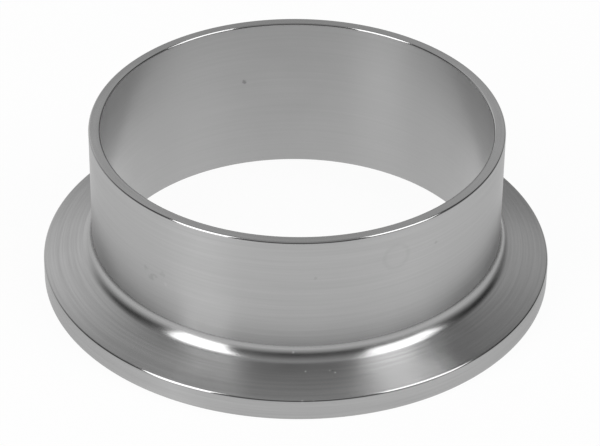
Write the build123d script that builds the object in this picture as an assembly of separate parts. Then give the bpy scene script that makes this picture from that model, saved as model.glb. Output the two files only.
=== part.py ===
from build123d import *
import os
from math import radians, tan

# Sanitary clamp ferrule, turned from one piece of stainless steel.
# The axis is Z, the sealing face lies on z = 0 and the tube end points up.
# All sizes are in millimetres.

# Tube end
TUBE_OUTER_DIAMETER = 51.6
TUBE_WALL_THICKNESS = 1.4
OVERALL_HEIGHT = 21.2

# Clamp flange
FLANGE_PROJECTION = 6.2  # beyond the tube's outside, which gives the standard 64 mm flange
RIM_THICKNESS = 2.7
CLAMP_CONE_ANGLE = 20.0
NECK_FILLET_RADIUS = 2.0

# Sealing face: a flat land beside the bore, then a gasket groove that is half round in section
SEALING_LAND_WIDTH = 2.2
GROOVE_RADIUS = 1.6

# Edge breaks, measured along each of the two faces that meet
TUBE_END_BREAK = 0.2
FLANGE_TOP_BREAK = 0.35
FLANGE_BOTTOM_BREAK = 0.1
BORE_BOTTOM_BREAK = 0.1
GROOVE_LIP_BREAK = 0.15

# Radii and heights that follow from the sizes above
tube_radius = TUBE_OUTER_DIAMETER / 2
bore_radius = tube_radius - TUBE_WALL_THICKNESS
flange_radius = tube_radius + FLANGE_PROJECTION
groove_mean_radius = bore_radius + SEALING_LAND_WIDTH + GROOVE_RADIUS
cone_height_at_tube = RIM_THICKNESS + FLANGE_PROJECTION * tan(radians(CLAMP_CONE_ANGLE))

# Corners of the half section, each as (radius, height)
bore_bottom = (bore_radius, 0.0)
flange_bottom = (flange_radius, 0.0)
flange_top = (flange_radius, RIM_THICKNESS)
neck = (tube_radius, cone_height_at_tube)
tube_end_outside = (tube_radius, OVERALL_HEIGHT)
tube_end_inside = (bore_radius, OVERALL_HEIGHT)
section_corners = [bore_bottom, flange_bottom, flange_top, neck, tube_end_outside, tube_end_inside]

# The lips where the groove meets the sealing face
groove_inner_lip = (groove_mean_radius - GROOVE_RADIUS, 0.0)
groove_outer_lip = (groove_mean_radius + GROOVE_RADIUS, 0.0)

# Width of the break on each sharp corner
edge_breaks = {
    bore_bottom: BORE_BOTTOM_BREAK,
    groove_inner_lip: GROOVE_LIP_BREAK,
    groove_outer_lip: GROOVE_LIP_BREAK,
    flange_bottom: FLANGE_BOTTOM_BREAK,
    flange_top: FLANGE_TOP_BREAK,
    tube_end_outside: TUBE_END_BREAK,
    tube_end_inside: TUBE_END_BREAK,
}


def corner_at(section, place):
    """The corner of the drawn half section that lies at this (radius, height)."""
    return section.vertices().sort_by_distance((*place, 0))[0]


def draw_half_section():
    """Half section of the ferrule, drawn with the radius as X and the height as Y."""
    section = make_face(Polyline(section_corners, close=True))
    section -= Pos(groove_mean_radius, 0.0) * Circle(GROOVE_RADIUS)
    section = fillet(corner_at(section, neck), NECK_FILLET_RADIUS)
    for place, width in edge_breaks.items():
        section = chamfer(corner_at(section, place), width)
    return section


def turn_ferrule():
    """Revolve the half section about Z into the finished ferrule."""
    turned = revolve(Plane.XZ * draw_half_section(), Axis.Z, 360)
    return turned.solids()[0]


ferrule = turn_ferrule()
ferrule.label = "ferrule"

os.makedirs("parts", exist_ok=True)
export_step(ferrule, "parts/ferrule.step")
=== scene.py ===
"""Blender scene of a sanitary clamp ferrule, turned from one piece of stainless steel.

The ferrule stands on its sealing face. Its axis is Z and its tube end points up. The sizes of the
turned section are in millimetres; everything that reaches Blender is in metres.
"""

import logging
import math
from dataclasses import dataclass, field
from enum import Enum

import bmesh
import bpy
from mathutils import Matrix, Vector


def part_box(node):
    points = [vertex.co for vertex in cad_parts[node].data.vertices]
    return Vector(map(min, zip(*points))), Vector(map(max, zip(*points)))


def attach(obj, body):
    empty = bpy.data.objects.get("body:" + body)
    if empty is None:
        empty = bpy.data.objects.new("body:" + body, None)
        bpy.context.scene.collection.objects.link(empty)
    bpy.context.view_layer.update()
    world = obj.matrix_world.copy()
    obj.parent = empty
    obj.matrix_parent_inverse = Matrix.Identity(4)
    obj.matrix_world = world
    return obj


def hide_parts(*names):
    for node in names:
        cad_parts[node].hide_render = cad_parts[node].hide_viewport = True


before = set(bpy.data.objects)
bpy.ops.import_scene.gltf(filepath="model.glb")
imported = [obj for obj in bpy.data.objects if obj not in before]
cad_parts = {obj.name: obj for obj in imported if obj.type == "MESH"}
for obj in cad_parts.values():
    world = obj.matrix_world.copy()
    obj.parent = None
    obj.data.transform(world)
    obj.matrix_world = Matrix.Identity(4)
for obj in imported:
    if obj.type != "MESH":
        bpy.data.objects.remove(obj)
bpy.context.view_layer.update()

MM = 0.001
NODE = "ferrule"
BODY = "root"

# The tube end in millimetres, for the turned section and for the marks that handling left on it
TUBE_RADIUS = 25.8
WALL_THICKNESS = 1.4
BORE_RADIUS = TUBE_RADIUS - WALL_THICKNESS

# Refraction of the thin oxide film, and the turn that lays the spread of reflections across the lines
OXIDE_IOR = 2.0
QUARTER_TURN = 0.25

# The ranges that hold nearly all of the mottling, and of the mottling and the turning lines together
NOISE_MEAN = 0.5
MOTTLE_SPAN = (0.3, 0.7)
TONE_SPAN = (0.45, 1.15)

# A mark has its full shade up to a share of its half width, and a ring's line fades over another share
MARK_CORE = 0.3
RING_LINE = 0.3

# Cells of noise in a metre of a mark's outline, and the full swing of its wander in half widths
OUTLINE_CELLS = 2400.0
OUTLINE_WANDER = 1.6

Socket = bpy.types.NodeSocket
Number = Socket | float

log = logging.getLogger("ferrule")


class Zone(Enum):
    """The surfaces of the turned part, in the order of their material slots."""

    BORE = "bore"
    TUBE_END = "tube_end"
    TUBE_WALL = "tube_wall"
    NECK = "neck"
    CLAMP_FACE = "clamp_face"
    RIM = "rim"
    SEALING_FACE = "sealing_face"
    EDGE_BREAK = "edge_break"


class Lay(Enum):
    """How the turning lines of a surface follow one another."""

    ALONG_AXIS = "along_axis"
    ALONG_RADIUS = "along_radius"
    ALONG_FILLET = "along_fillet"


class Fade(Enum):
    """How a value passes from one end of a range to the other."""

    EVEN = "LINEAR"
    SOFT = "SMOOTHSTEP"


class LampOutline(Enum):
    """The outline of a soft lamp."""

    RECTANGLE = "RECTANGLE"
    ELLIPSE = "ELLIPSE"


def opaque_grey(level: float) -> tuple[float, float, float, float]:
    """Give a grey as an opaque colour, from 0 for black to 1 for white."""
    return (level, level, level, 1.0)


def direction(azimuth: float, elevation: float) -> Vector:
    """Point from the ferrule to a place round it.

    Args:
        azimuth: Degrees round the axis from the front, positive to the right.
        elevation: Degrees above the floor.

    Returns:
        The unit vector.
    """
    turn, rise = math.radians(azimuth), math.radians(elevation)
    return Vector((math.sin(turn) * math.cos(rise), -math.cos(turn) * math.cos(rise), math.sin(rise)))


def stand(place: Vector, across: Vector, upright: Vector, back: Vector) -> Matrix:
    """Work out the matrix of a lamp or camera that stands somewhere and points at something.

    Args:
        place: Where it stands, in metres.
        across: The direction to its right.
        upright: The direction of its top.
        back: The direction away from what it points at.

    Returns:
        The matrix.
    """
    return Matrix.Translation(place) @ Matrix((across, upright, back)).transposed().to_4x4()


class NodeBench:
    """Lays out the nodes of one material, or of the surroundings.

    Attributes:
        tree: The node tree that is being filled.
    """

    def __init__(self, tree: bpy.types.NodeTree) -> None:
        """Take a node tree and clear it."""
        self.tree = tree
        self.tree.nodes.clear()

    def add(self, kind: str, inputs: dict | None = None, **settings: str | bool) -> bpy.types.Node:
        """Add a node.

        Args:
            kind: The node's type, such as ShaderNodeBump.
            inputs: Values or output sockets, keyed by input name or index.
            **settings: Properties of the node, such as operation.

        Returns:
            The new node.
        """
        node = self.tree.nodes.new(kind)
        for name, value in settings.items():
            setattr(node, name, value)
        for key, value in (inputs or {}).items():
            if isinstance(value, Socket):
                self.tree.links.new(value, node.inputs[key])
            else:
                node.inputs[key].default_value = value
        return node

    def math(self, operation: str, first: Number, second: Number = 0.0) -> Socket:
        """Combine two numbers or sockets, and return the result's socket."""
        return self.add("ShaderNodeMath", {0: first, 1: second}, operation=operation).outputs[0]

    def compare(self, operation: str, first: Socket, second: Vector) -> Socket:
        """Compare a place or direction with a fixed one, and return the result's socket."""
        inputs = {0: first, 1: tuple(second)}
        return self.add("ShaderNodeVectorMath", inputs, operation=operation).outputs["Value"]

    def noise(self, place: Socket, scale: float, detail: float) -> Socket:
        """Add noise from 0 to 1, with scale cells in each unit of the place, and return its socket."""
        inputs = {"Vector": place, "Scale": scale, "Detail": detail}
        return self.add("ShaderNodeTexNoise", inputs).outputs[0]

    def ramp(self, value: Socket, low: float, high: float, to_low: float, to_high: float,
             fade: Fade = Fade.EVEN) -> Socket:
        """Map a value from one range to another, without leaving the second.

        Args:
            value: The socket that is read.
            low: The value that becomes to_low.
            high: The value that becomes to_high.
            to_low: The first end of the new range.
            to_high: The other end of the new range.
            fade: How the value passes between the two ends.

        Returns:
            The mapped value's socket.
        """
        inputs = {0: value, 1: low, 2: high, 3: to_low, 4: to_high}
        return self.add("ShaderNodeMapRange", inputs, clamp=True, interpolation_type=fade.value).outputs[0]


@dataclass(frozen=True)
class Mark:
    """A small mark in the steel. The dark marks and the rings are left by handling; the bright specks on
    the clamping face, the flange's upper edge and the neck are painted glints of small nicks. Sizes and
    places are in millimetres.

    Attributes:
        zone: The surface that it lies on.
        azimuth: Degrees round the axis from the front, positive to the right.
        radius: Distance from the axis.
        height: Height above the sealing face.
        width: Width of the mark.
        shade: What it adds to the steel's grey, as a share of it, negative for a dark mark, positive for a
            painted glint.
        ring: Whether only its outline shows.
    """

    zone: Zone
    azimuth: float
    radius: float
    height: float
    width: float
    shade: float
    ring: bool = False

    def paint(self, bench: NodeBench, place: Socket, wander: Socket) -> Socket:
        """Work out what the mark adds to the grey at one place.

        Args:
            bench: The material's nodes.
            place: The place on the surface.
            wander: Noise about zero, which makes the outline uneven.

        Returns:
            The added share.
        """
        centre = direction(self.azimuth, 0.0) * self.radius
        centre.z = self.height
        away = bench.compare("DISTANCE", place, centre * MM)
        share = bench.math("DIVIDE", away, self.width * MM / 2)
        if self.ring:
            off_line = bench.math("ABSOLUTE", bench.math("SUBTRACT", share, 1.0))
            return bench.ramp(off_line, 0.0, RING_LINE, self.shade, 0.0, Fade.SOFT)
        return bench.ramp(bench.math("ADD", share, wander), MARK_CORE, 1.0, self.shade, 0.0, Fade.SOFT)


@dataclass(frozen=True)
class TurnedFinish:
    """Satin stainless steel as a lathe tool leaves it, with fine lines round the axis.

    Attributes:
        zone: The surface that has this finish.
        grey: Reflected share of the light, the same for red, green and blue.
        roughness: Mean roughness.
        lay: The direction in which the turning lines follow one another.
        lines_per_mm: How many turning lines lie in a millimetre.
        line_depth: Depth of the turning lines in millimetres.
        line_contrast: How much the lines and the mottling change the grey, as a share of it.
        line_cells: Cells of noise in a metre along a turning line. Few of them make long lines.
        drag: How much more the reflections spread across the lines than along them, from 0 to 1.
        edge_tint: Share of the light that is kept where the surface is seen nearly edge on.
        film: Share of the surface that has a thin clear oxide film.
        mottle_cells: Cells of noise in a metre of the soft mottling.
        mottle_weight: How much the mottling counts in the grey, where the lines count 1.
        unevenness: How much the mottling changes the roughness, as a share of it.
    """

    zone: Zone
    grey: float
    roughness: float
    lay: Lay = Lay.ALONG_AXIS
    lines_per_mm: float = 3.5
    line_depth: float = 0.0003
    line_contrast: float = 0.09
    line_cells: float = 60.0
    drag: float = 0.8
    edge_tint: float = 0.78
    film: float = 0.0
    mottle_cells: float = 160.0
    mottle_weight: float = 0.6
    unevenness: float = 0.08

    def material(self) -> bpy.types.Material:
        """Build the finish as a material.

        Returns:
            The material, named after its zone.
        """
        made = bpy.data.materials.new("steel_" + self.zone.value)
        made.use_nodes = True
        bench = NodeBench(made.node_tree)
        place = bench.add("ShaderNodeTexCoord").outputs["Object"]
        lines = self.turning_lines(bench, place)
        mottle = bench.noise(place, self.mottle_cells, detail=3.0)
        grey = self.worn_and_glint_grey(bench, place, lines, mottle)
        smoothest = self.roughness * (1.0 - self.unevenness)
        roughest = self.roughness * (1.0 + self.unevenness)
        bump = bench.add("ShaderNodeBump", {
            "Strength": 1.0,
            "Distance": self.line_depth * MM,
            "Height": lines,
        })
        steel = bench.add("ShaderNodeBsdfPrincipled", {
            "Base Color": bench.add("ShaderNodeCombineColor", {0: grey, 1: grey, 2: grey}).outputs[0],
            "Metallic": 1.0,
            "Roughness": bench.ramp(mottle, *MOTTLE_SPAN, smoothest, roughest),
            "Specular Tint": opaque_grey(self.edge_tint),
            "Anisotropic": self.drag,
            "Anisotropic Rotation": QUARTER_TURN,
            "Coat Weight": self.film,
            "Coat Roughness": self.roughness,
            "Coat IOR": OXIDE_IOR,
            "Normal": bump.outputs[0],
            "Tangent": bench.add("ShaderNodeTangent", direction_type="RADIAL", axis="Z").outputs[0],
        })
        bench.add("ShaderNodeOutputMaterial", {"Surface": steel.outputs[0]})
        return made

    def turning_lines(self, bench: NodeBench, place: Socket) -> Socket:
        """Draw noise out round the axis, so that it looks like turning lines.

        Args:
            bench: The material's nodes.
            place: The place on the surface.

        Returns:
            The height of the lines, from 0 to 1.
        """
        x, y, z = bench.add("ShaderNodeSeparateXYZ", {0: place}).outputs
        across = z
        if self.lay is not Lay.ALONG_AXIS:
            square = bench.math("ADD", bench.math("MULTIPLY", x, x), bench.math("MULTIPLY", y, y))
            across = bench.math("SQRT", square)
        if self.lay is Lay.ALONG_FILLET:
            across = bench.math("SUBTRACT", across, z)
        drawn_out = bench.add("ShaderNodeCombineXYZ", {
            0: bench.math("MULTIPLY", x, self.line_cells),
            1: bench.math("MULTIPLY", y, self.line_cells),
            2: bench.math("MULTIPLY", across, self.lines_per_mm / MM),
        }).outputs[0]
        return bench.noise(drawn_out, scale=1.0, detail=2.0)

    def worn_and_glint_grey(self, bench: NodeBench, place: Socket, lines: Socket, mottle: Socket) -> Socket:
        """Mix the grey from the turning lines, the mottling, the marks of handling and the painted glints
        of small nicks.

        Args:
            bench: The material's nodes.
            place: The place on the surface.
            lines: The height of the turning lines.
            mottle: The noise of the mottling.

        Returns:
            The grey.
        """
        tone = bench.math("ADD", lines, bench.math("MULTIPLY", mottle, self.mottle_weight))
        darkest = self.grey * (1.0 - self.line_contrast)
        lightest = self.grey * (1.0 + self.line_contrast)
        grey = bench.ramp(tone, *TONE_SPAN, darkest, lightest)
        return bench.math("MULTIPLY", grey, self.marked(bench, place))

    def marked(self, bench: NodeBench, place: Socket) -> Number:
        """Gather the marks and the painted glints of this surface.

        Args:
            bench: The material's nodes.
            place: The place on the surface.

        Returns:
            What the grey is multiplied by, 1 away from the marks and the painted glints.
        """
        marks = [mark for mark in MARKS_AND_GLINTS if mark.zone is self.zone]
        if not marks:
            return 1.0
        noise = bench.noise(place, OUTLINE_CELLS, detail=1.0)
        wander = bench.math("MULTIPLY", bench.math("SUBTRACT", noise, NOISE_MEAN), OUTLINE_WANDER)
        share = 1.0
        for mark in marks:
            share = bench.math("ADD", share, mark.paint(bench, place, wander))
        return share


MARKS_AND_GLINTS = [
    Mark(Zone.BORE, azimuth=-163.2, radius=BORE_RADIUS, height=12.8, width=0.8, shade=-0.5),
    Mark(Zone.TUBE_WALL, azimuth=-44.0, radius=TUBE_RADIUS, height=12.3, width=0.9, shade=-0.12),
    Mark(Zone.TUBE_WALL, azimuth=-42.0, radius=TUBE_RADIUS, height=11.4, width=1.1, shade=-0.14),
    Mark(Zone.TUBE_WALL, azimuth=-40.5, radius=TUBE_RADIUS, height=11.8, width=0.8, shade=-0.1),
    Mark(Zone.TUBE_WALL, azimuth=-38.0, radius=TUBE_RADIUS, height=12.7, width=1.2, shade=-0.08),
    Mark(Zone.TUBE_WALL, azimuth=-37.0, radius=TUBE_RADIUS, height=11.3, width=0.7, shade=0.08),
    Mark(Zone.TUBE_WALL, azimuth=27.5, radius=TUBE_RADIUS, height=17.4, width=3.2, shade=-0.05, ring=True),
    Mark(Zone.TUBE_WALL, azimuth=40.1, radius=TUBE_RADIUS, height=17.3, width=0.6, shade=-0.14),
    Mark(Zone.TUBE_WALL, azimuth=5.3, radius=TUBE_RADIUS, height=16.1, width=0.5, shade=-0.12),
    # Bright specks with a positive shade are painted glints of small nicks in the clamping face
    Mark(Zone.CLAMP_FACE, azimuth=2.7, radius=28.06, height=4.13, width=0.3, shade=0.9),
    Mark(Zone.CLAMP_FACE, azimuth=3.6, radius=28.1, height=4.12, width=0.22, shade=0.5),
    Mark(Zone.CLAMP_FACE, azimuth=8.6, radius=28.08, height=4.12, width=0.3, shade=0.9),
    Mark(Zone.CLAMP_FACE, azimuth=9.3, radius=28.1, height=4.12, width=0.25, shade=-0.5),
    Mark(Zone.CLAMP_FACE, azimuth=9.9, radius=28.4, height=4.01, width=0.35, shade=1.1),
    # Painted glints of small nicks in the flange's upper edge
    Mark(Zone.EDGE_BREAK, azimuth=1.8, radius=31.8, height=2.65, width=0.5, shade=0.9),
    Mark(Zone.EDGE_BREAK, azimuth=4.1, radius=31.8, height=2.65, width=0.4, shade=0.8),
    # Painted glint of a small nick in the neck
    Mark(Zone.NECK, azimuth=-0.3, radius=26.2, height=5.44, width=0.5, shade=0.7),
]

FINISHES = [
    TurnedFinish(Zone.BORE, grey=0.33, roughness=0.34, drag=0.87, line_contrast=0.05, edge_tint=1.0,
                 film=1.0),
    TurnedFinish(Zone.TUBE_END, grey=0.455, roughness=0.25, lay=Lay.ALONG_RADIUS),
    TurnedFinish(Zone.TUBE_WALL, grey=0.435, roughness=0.3, drag=0.85, line_contrast=0.065),
    TurnedFinish(Zone.NECK, grey=0.39, roughness=0.22, lay=Lay.ALONG_FILLET, line_depth=0.0001),
    TurnedFinish(Zone.CLAMP_FACE, grey=0.375, roughness=0.25, lay=Lay.ALONG_RADIUS, line_contrast=0.12),
    TurnedFinish(Zone.RIM, grey=0.415, roughness=0.32, drag=0.85),
    TurnedFinish(Zone.SEALING_FACE, grey=0.39, roughness=0.25, lay=Lay.ALONG_RADIUS),
    TurnedFinish(Zone.EDGE_BREAK, grey=0.37, roughness=0.09, drag=0.3),
]


class SectionPen:
    """Draws one closed half section in the XZ plane, stroke by stroke.

    Attributes:
        mesh: The mesh that holds the outline.
        tip: The vertex that the next stroke starts from.
    """

    def __init__(self, radius: float, height: float) -> None:
        """Put the pen down at a radius and height in millimetres."""
        self.mesh = bmesh.new()
        self.tip = self.mesh.verts.new((radius * MM, 0.0, height * MM))

    def line_to(self, radius: float, height: float, steps: int = 1, guard: float = 0.0) -> None:
        """Draw a straight line.

        Args:
            radius: Radius of the line's end in millimetres.
            height: Height of the line's end in millimetres.
            steps: How many equal pieces the line has.
            guard: Length in millimetres of one more piece at each end, which keeps the
                shading of a rounded edge beside it off the flat.
        """
        start = self.tip.co.copy()
        run = Vector((radius * MM, 0.0, height * MM)) - start
        shares = [step / steps for step in range(1, steps + 1)]
        if guard:
            margin = guard * MM / run.length
            shares = [margin, *shares[:-1], 1.0 - margin, 1.0]
        for share in shares:
            made = bmesh.ops.extrude_vert_indiv(self.mesh, verts=[self.tip])
            self.tip = made["verts"][0]
            self.tip.co = start + run * share

    def arc(self, radius: float, height: float, degrees: float, steps: int) -> None:
        """Draw an arc about a centre.

        Args:
            radius: Radius of the centre in millimetres.
            height: Height of the centre in millimetres.
            degrees: Angle of the arc, positive from the radius towards the height.
            steps: How many straight pieces the arc has.
        """
        made = bmesh.ops.spin(self.mesh, geom=[self.tip], cent=(radius * MM, 0.0, height * MM),
                              axis=(0.0, -1.0, 0.0), angle=math.radians(degrees), steps=steps)
        self.tip = next(item for item in made["geom_last"] if isinstance(item, bmesh.types.BMVert))

    def bevel_to(self, radius: float, height: float, crown: float, steps: int) -> None:
        """Draw a bevel that bulges outwards, clockwise about the section.

        Args:
            radius: Radius of the bevel's end in millimetres.
            height: Height of the bevel's end in millimetres.
            crown: Degrees that the bulging face turns through.
            steps: How many straight pieces the bevel has.
        """
        start_radius, start_height = self.tip.co.x / MM, self.tip.co.z / MM
        along_radius, along_height = radius - start_radius, height - start_height
        inset = 1.0 / (2.0 * math.tan(math.radians(crown) / 2))
        self.arc((start_radius + radius) / 2 + along_height * inset,
                 (start_height + height) / 2 - along_radius * inset, -crown, steps)

    def turn(self, segments: int) -> bmesh.types.BMesh:
        """Close the outline and turn it once round the Z axis.

        Args:
            segments: How many steps the full turn has.

        Returns:
            The closed mesh, with its faces pointing outwards.
        """
        hair = 0.001 * MM
        bmesh.ops.remove_doubles(self.mesh, verts=self.mesh.verts[:], dist=hair)
        bmesh.ops.spin(self.mesh, geom=self.mesh.verts[:] + self.mesh.edges[:], cent=(0.0, 0.0, 0.0),
                       axis=(0.0, 0.0, 1.0), angle=math.tau, steps=segments, use_merge=True)
        bmesh.ops.remove_doubles(self.mesh, verts=self.mesh.verts[:], dist=hair)
        bmesh.ops.recalc_face_normals(self.mesh, faces=self.mesh.faces[:])
        return self.mesh


@dataclass
class Ferrule:
    """The turned ferrule. All sizes are in millimetres.

    Attributes:
        height: Overall height, read from the frame.
        flange_radius: Outer radius of the clamp flange, read from the frame.
        tube_radius: Outer radius of the tube end.
        wall: Wall of the tube end.
        rim: Height of the flange's upright rim.
        cone_degrees: Slope of the clamping face.
        neck: Radius of the fillet between tube and clamping face.
        land: Width of the sealing land beside the bore.
        groove: Radius of the gasket groove's half round section.
        end_break: Width of the break on the tube end's two edges.
        end_crown: Degrees that the bulging face of that break turns through.
        rim_break: Rounding of the flange's upper edge.
        foot_break: Rounding of the flange's lower edge.
        bore_break: Break of the bore's lower edge.
        lip_break: Break of the groove's two lips.
        guard: Width of the strip beside each sharp edge that keeps its shading off the flat.
        crease_degrees: Turn from one face to the next at which an edge shows as sharp.
        segments: Steps of the full turn.
    """

    height: float = field(default_factory=lambda: round(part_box(NODE)[1][2] / MM, 2))
    flange_radius: float = field(default_factory=lambda: round(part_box(NODE)[1][0] / MM, 2))
    tube_radius: float = TUBE_RADIUS
    wall: float = WALL_THICKNESS
    rim: float = 2.7
    cone_degrees: float = 20.0
    neck: float = 2.0
    land: float = 2.2
    groove: float = 1.6
    end_break: float = 0.2
    end_crown: float = 54.0
    rim_break: float = 0.35
    foot_break: float = 0.1
    bore_break: float = 0.1
    lip_break: float = 0.15
    guard: float = 0.03
    crease_degrees: float = 25.0
    segments: int = 512

    @property
    def bore_radius(self) -> float:
        """Radius of the bore."""
        return self.tube_radius - self.wall

    @property
    def groove_radius(self) -> float:
        """Distance from the axis to the middle of the gasket groove."""
        return self.bore_radius + self.land + self.groove

    @property
    def slope(self) -> float:
        """Slope of the clamping face in radians."""
        return math.radians(self.cone_degrees)

    @property
    def neck_top(self) -> float:
        """Height at which the neck fillet runs into the tube."""
        cone_top = self.cone_height(self.tube_radius)
        return cone_top + self.neck * math.tan((math.pi / 2 - self.slope) / 2)

    def cone_height(self, radius: float) -> float:
        """Height of the clamping face, drawn on past its edges, at a distance from the axis."""
        return self.rim + (self.flange_radius - radius) * math.tan(self.slope)

    def section(self) -> SectionPen:
        """Draw the half section, clockwise from the foot of the bore.

        Returns:
            The pen, back where it started.
        """
        turn = 90.0 - self.cone_degrees
        pen = SectionPen(self.bore_radius, self.bore_break)
        pen.line_to(self.bore_radius, self.height - self.end_break, steps=12, guard=self.guard)
        pen.bevel_to(self.bore_radius + self.end_break, self.height, self.end_crown, steps=6)
        pen.line_to(self.tube_radius - self.end_break, self.height, steps=3, guard=self.guard)
        pen.bevel_to(self.tube_radius, self.height - self.end_break, self.end_crown, steps=6)
        pen.line_to(self.tube_radius, self.neck_top, steps=10, guard=self.guard)
        pen.arc(self.tube_radius + self.neck, self.neck_top, turn, steps=22)
        break_foot = self.rim_break * math.tan(math.radians(turn) / 2)
        pen.line_to(self.flange_radius - break_foot * math.cos(self.slope),
                    self.rim + break_foot * math.sin(self.slope), steps=6, guard=self.guard)
        pen.arc(self.flange_radius - self.rim_break, self.rim - break_foot, -turn, steps=6)
        pen.line_to(self.flange_radius, self.foot_break, steps=4, guard=self.guard)
        pen.arc(self.flange_radius - self.foot_break, self.foot_break, -90.0, steps=4)
        self.draw_groove(pen)
        pen.line_to(self.bore_radius + self.bore_break, 0.0, steps=3)
        pen.line_to(self.bore_radius, self.bore_break)
        return pen

    def draw_groove(self, pen: SectionPen) -> None:
        """Draw the sealing face from the flange's foot to the inner lip of the gasket groove.

        Args:
            pen: The pen, on the sealing face at the flange's foot.
        """
        lip = self.lip_break / self.groove
        reach = self.groove * math.cos(lip)
        rise = self.groove * math.sin(lip)
        pen.line_to(self.groove_radius + self.groove + self.lip_break, 0.0, steps=3)
        pen.line_to(self.groove_radius + reach, rise)
        pen.arc(self.groove_radius, 0.0, 180.0 - 2.0 * math.degrees(lip), steps=16)
        pen.line_to(self.groove_radius - self.groove - self.lip_break, 0.0)

    def zone_at(self, radius: float, height: float) -> Zone:
        """Name the surface that a point of the section lies on.

        Args:
            radius: Distance from the axis in millimetres.
            height: Height above the sealing face in millimetres.

        Returns:
            The zone.
        """
        hair = 0.004
        if abs(height - self.height) < hair:
            return Zone.TUBE_END
        if radius < self.bore_radius + hair:
            return Zone.BORE
        if height > self.height - self.end_break - hair:
            return Zone.EDGE_BREAK
        if radius > self.flange_radius - hair:
            return Zone.RIM
        if height < self.rim - hair and radius > self.flange_radius - self.rim_break:
            return Zone.EDGE_BREAK
        if abs(height - self.cone_height(radius)) < hair and radius > self.tube_radius + hair:
            return Zone.CLAMP_FACE
        if height < self.rim:
            return Zone.SEALING_FACE
        if height > self.neck_top and radius > self.tube_radius - hair:
            return Zone.TUBE_WALL
        if radius > self.flange_radius - self.rim_break - hair:
            return Zone.EDGE_BREAK
        return Zone.NECK

    def build(self) -> bpy.types.Object:
        """Turn the ferrule, dress it and set it in place of the plain node.

        Returns:
            The finished piece.
        """
        turned = self.section().turn(self.segments)
        slots = list(Zone)
        for face in turned.faces:
            face.smooth = True
            centre = face.calc_center_median() / MM
            face.material_index = slots.index(self.zone_at(math.hypot(centre.x, centre.y), centre.z))
        crease = math.radians(self.crease_degrees)
        for edge in turned.edges:
            edge.smooth = edge.calc_face_angle(0.0) < crease
        mesh = bpy.data.meshes.new("turned_ferrule")
        turned.to_mesh(mesh)
        turned.free()
        finishes = {finish.zone: finish for finish in FINISHES}
        for zone in slots:
            mesh.materials.append(finishes[zone].material())
        piece = bpy.data.objects.new("turned_ferrule", mesh)
        bpy.context.scene.collection.objects.link(piece)
        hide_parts(NODE)
        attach(piece, BODY)
        return piece


@dataclass(frozen=True)
class Softbox:
    """A soft lamp that points at the ferrule.

    Attributes:
        name: What the lamp is called.
        azimuth: Degrees round the axis from the front, positive to the right.
        elevation: Degrees above the floor.
        width: Width in degrees, as the ferrule sees it.
        tall: Height in degrees, as the ferrule sees it.
        level: Its power, where 1 makes a rectangle of its width and height as bright as white.
        tilt: Degrees that it leans over to the left, as seen from behind it.
        outline: The outline of its surface.
        distance: Distance from the ferrule in metres.
    """

    name: str
    azimuth: float
    elevation: float
    width: float
    tall: float
    level: float
    tilt: float = 0.0
    outline: LampOutline = LampOutline.RECTANGLE
    distance: float = 1.0

    def build(self) -> bpy.types.Object:
        """Hang the lamp.

        Returns:
            The lamp, out of the camera's sight.
        """
        lamp = bpy.data.lights.new(self.name, "AREA")
        lamp.shape = self.outline.value
        lamp.size = 2.0 * self.distance * math.tan(math.radians(self.width) / 2)
        lamp.size_y = 2.0 * self.distance * math.tan(math.radians(self.tall) / 2)
        lamp.energy = self.level * math.pi * lamp.size * lamp.size_y
        hung = bpy.data.objects.new(self.name, lamp)
        hung.visible_camera = False
        away = direction(self.azimuth, self.elevation)
        upright = direction(self.azimuth, self.elevation + 90.0)
        faced = stand(away * self.distance, upright.cross(away), upright, away)
        hung.matrix_world = faced @ Matrix.Rotation(math.radians(self.tilt), 4, "Z")
        bpy.context.scene.collection.objects.link(hung)
        return hung


@dataclass(frozen=True)
class WallGlow:
    """A round patch of the studio's walls that is lighter or darker than the rest.

    Attributes:
        azimuth: Degrees round the axis from the front, positive to the right.
        elevation: Degrees above the floor.
        core: Degrees from its centre at which it starts to fade.
        reach: Degrees from its centre at which it ends.
        level: What it adds to the wall, negative for a dark card.
    """

    azimuth: float
    elevation: float
    core: float
    reach: float
    level: float

    def paint(self, bench: NodeBench, away: Socket) -> Socket:
        """Work out what the patch adds in one direction.

        Args:
            bench: The nodes of the surroundings.
            away: The direction.

        Returns:
            The added brightness.
        """
        aligned = bench.compare("DOT_PRODUCT", away, direction(self.azimuth, self.elevation))
        degrees = bench.math("DEGREES", bench.math("ARCCOSINE", aligned))
        return bench.ramp(degrees, self.core, self.reach, self.level, 0.0, Fade.SOFT)


SOFTBOXES = [
    Softbox("softbox_left", azimuth=-54.0, elevation=37.5, width=26.0, tall=56.0, level=3.35, tilt=19.0),
    Softbox("softbox_right", azimuth=68.0, elevation=46.5, width=29.0, tall=32.0, level=3.15, tilt=-34.0),
    Softbox("lamp_high", azimuth=99.0, elevation=65.0, width=19.5, tall=19.5, level=2.3,
            outline=LampOutline.ELLIPSE),
]

WALL_GLOWS = [
    WallGlow(azimuth=-157.0, elevation=33.0, core=0.0, reach=40.0, level=1.3),
    WallGlow(azimuth=154.0, elevation=32.5, core=1.0, reach=39.0, level=1.55),
    WallGlow(azimuth=161.0, elevation=22.0, core=20.0, reach=55.0, level=-0.8),
    WallGlow(azimuth=134.0, elevation=61.0, core=1.0, reach=15.0, level=-0.3),
]


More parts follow.
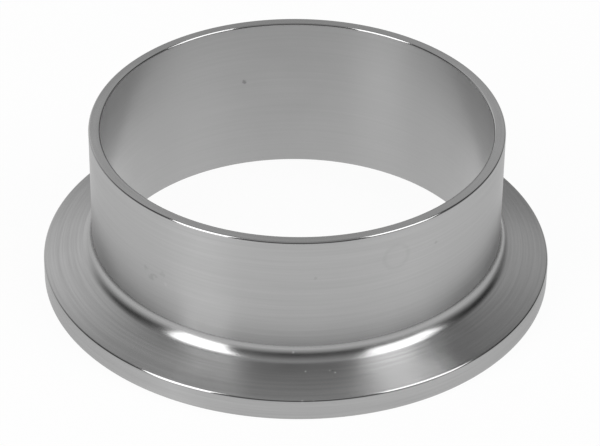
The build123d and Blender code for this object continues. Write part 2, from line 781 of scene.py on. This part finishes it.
@dataclass
class Studio:
    """The floor, the lamps, the surroundings and the camera.

    Attributes:
        floor_radius: Radius of the floor in metres.
        floor_white: Share of the lamps' light that the floor gives back.
        floor_glow: Share of the floor's white that doesn't depend on the lamps.
        foot_level: Brightness of the walls where they meet the floor.
        dark_height: Degrees above the floor at which the walls are darkest.
        overhead_height: Degrees above the floor from which the ceiling is even.
        overhead_level: Brightness of the ceiling.
        darkest: Brightness of the darkest stretch of wall.
        camera_aim: The point that the camera looks at, in millimetres.
        camera_elevation: Degrees that the camera stands above the horizon.
        camera_roll: Degrees that the camera is tilted about its own axis.
        camera_distance: Distance from the camera to its aim, in millimetres.
        focal_length: Focal length in millimetres.
        sensor_width: Width of the camera's sensor in millimetres.
    """

    floor_radius: float = 3.0
    floor_white: float = 0.9
    floor_glow: float = 0.94
    foot_level: float = 1.0
    dark_height: float = 30.0
    overhead_height: float = 80.0
    overhead_level: float = 0.58
    darkest: float = 0.01
    camera_aim: tuple[float, float, float] = (0.481, 2.960, 4.317)
    camera_elevation: float = 34.433
    camera_roll: float = 0.624
    camera_distance: float = 367.99
    focal_length: float = 172.68
    sensor_width: float = 36.0

    def build_floor(self) -> bpy.types.Object:
        """Lay a plain white floor under the ferrule.

        Returns:
            The floor.
        """
        disc = bmesh.new()
        bmesh.ops.create_circle(disc, cap_ends=True, segments=96, radius=self.floor_radius)
        mesh = bpy.data.meshes.new("floor")
        disc.to_mesh(mesh)
        disc.free()
        mesh.materials.append(self.floor_material())
        floor = bpy.data.objects.new("floor", mesh)
        bpy.context.scene.collection.objects.link(floor)
        return floor

    def floor_material(self) -> bpy.types.Material:
        """Make the floor white to the camera and in reflections, and plain and pale for all other light.

        Returns:
            The material.
        """
        made = bpy.data.materials.new("floor_white")
        made.use_nodes = True
        bench = NodeBench(made.node_tree)
        path = bench.add("ShaderNodeLightPath").outputs
        seen = bench.math("MAXIMUM", path["Is Camera Ray"], path["Is Glossy Ray"])
        seen = bench.math("MAXIMUM", seen, path["Is Transmission Ray"])
        plain = bench.add("ShaderNodeBsdfDiffuse", {"Color": opaque_grey(self.floor_white)}).outputs[0]
        white = bench.add("ShaderNodeEmission", {"Color": opaque_grey(1.0), "Strength": 1.0}).outputs[0]
        share = bench.math("MULTIPLY", seen, self.floor_glow)
        mixed = bench.add("ShaderNodeMixShader", {0: share, 1: plain, 2: white}).outputs[0]
        bench.add("ShaderNodeOutputMaterial", {"Surface": mixed})
        return made

    def build_world(self) -> None:
        """Surround the stage with walls: light at the floor, dark at lamp height, grey overhead."""
        world = bpy.data.worlds.new("surroundings")
        bpy.context.scene.world = world
        world.use_nodes = True
        bench = NodeBench(world.node_tree)
        away = bench.add("ShaderNodeTexCoord").outputs["Generated"]
        up = bench.add("ShaderNodeSeparateXYZ", {0: away}).outputs[2]
        rise = bench.math("DEGREES", bench.math("ARCSINE", up))
        foot = bench.ramp(rise, 0.0, self.dark_height, self.foot_level, 0.0)
        overhead = bench.ramp(rise, self.dark_height, self.overhead_height, 0.0, self.overhead_level)
        level = bench.math("ADD", foot, overhead)
        for glow in WALL_GLOWS:
            level = bench.math("ADD", level, glow.paint(bench, away))
        level = bench.math("MAXIMUM", level, self.darkest)
        shine = bench.add("ShaderNodeBackground", {"Color": opaque_grey(1.0), "Strength": level})
        bench.add("ShaderNodeOutputWorld", {"Surface": shine.outputs[0]})

    def build_camera(self) -> bpy.types.Object:
        """Set up the camera, which looks down on the ferrule from the front.

        Returns:
            The camera.
        """
        data = bpy.data.cameras.new("camera")
        data.lens = self.focal_length
        data.sensor_width = self.sensor_width
        camera = bpy.data.objects.new("camera", data)
        back = direction(0.0, self.camera_elevation)
        level_top = direction(180.0, 90.0 - self.camera_elevation)
        roll = math.radians(self.camera_roll)
        across = Vector((1.0, 0.0, 0.0)) * math.cos(roll) + level_top * math.sin(roll)
        place = Vector(self.camera_aim) * MM + back * self.camera_distance * MM
        camera.matrix_world = stand(place, across, back.cross(across), back)
        bpy.context.scene.collection.objects.link(camera)
        bpy.context.scene.camera = camera
        return camera

    def build(self) -> list[bpy.types.Object]:
        """Build the whole studio.

        Returns:
            The camera, the floor and the lamps.
        """
        bpy.context.scene.view_settings.view_transform = "Standard"
        self.build_world()
        return [self.build_camera(), self.build_floor(), *(box.build() for box in SOFTBOXES)]


def main() -> None:
    """Build the ferrule and its studio, and report each piece."""
    logging.basicConfig(level=logging.INFO, format="%(message)s")
    piece = Ferrule().build()
    log.info("%s: %d faces", piece.name, len(piece.data.polygons))
    for fitting in Studio().build():
        log.info("%s: in place", fitting.name)


if __name__ == "__main__":
    main()
